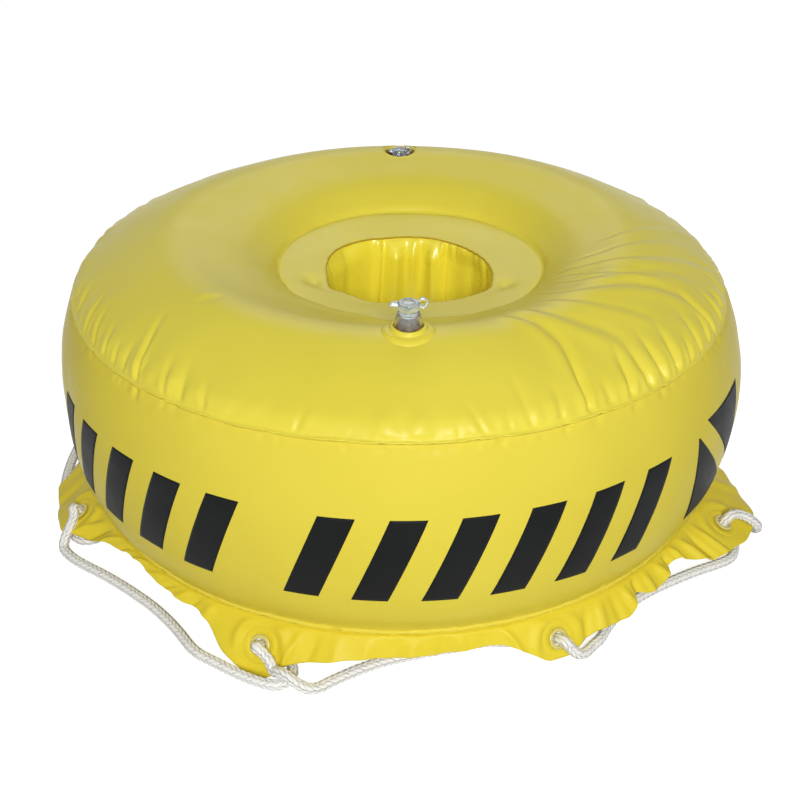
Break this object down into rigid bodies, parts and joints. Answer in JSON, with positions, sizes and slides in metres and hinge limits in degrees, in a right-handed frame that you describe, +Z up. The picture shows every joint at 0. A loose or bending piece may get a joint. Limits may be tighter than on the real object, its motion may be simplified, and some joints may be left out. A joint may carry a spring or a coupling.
{
  "type": "inflatable ring-shaped surface marker buoy",
  "caption": "Low yellow inflatable ring with a hole through its middle, stand-up and pushed-in air valves, and a scalloped skirt threaded with a white grab rope.",
  "frame": {"origin": "on the floor under the middle of the ring", "axes": "+Z up through the middle of the hole, -Y to the front where the stand-up valve is, +X to the right seen from the front"},
  "size_m": [0.6415, 0.6617, 0.2773],
  "materials": {
    "yellow_sheet": "glossy welded yellow sheet with soft puckers at the seams, black bars and a black panel with a yellow diagonal stripe on the side band",
    "skirt_sheet": "single yellow sheet, wavy, a little deeper in colour",
    "eyelet_plastic": "pale translucent grey moulding",
    "valve_clear": "clear soft moulding",
    "plug_clear": "clear moulding with a blue tint",
    "braided_rope": "white diagonal-plait braid with a slight sheen"
  },
  "bodies": {
    "buoy": {"top_panel": "yellow_sheet", "side_band": "yellow_sheet", "bottom_panel": "yellow_sheet", "inner_sleeve": "yellow_sheet", "top_weld_ring": "yellow_sheet", "bottom_weld_ring": "yellow_sheet", "skirt": "skirt_sheet", "eyelet_patches": "skirt_sheet", "eyelets": "eyelet_plastic", "front_valve_flange": "yellow_sheet", "front_valve_stem": "valve_clear", "rear_valve_flange": "yellow_sheet", "rear_valve_stem": "valve_clear", "grab_rope": "braided_rope", "rope_knot": "braided_rope"},
    "front_plug": {"front_valve_plug": "plug_clear"},
    "rear_plug": {"rear_valve_plug": "plug_clear"}
  },
  "joints": [
    {"name": "front_plug_pull", "type": "slide", "parent": "buoy", "child": "front_plug", "axis": [0, 0, 1], "range_m": [0, 0.018]},
    {"name": "rear_plug_pull", "type": "slide", "parent": "buoy", "child": "rear_plug", "axis": [0, 0, 1], "range_m": [0, 0.018]}
  ]
}
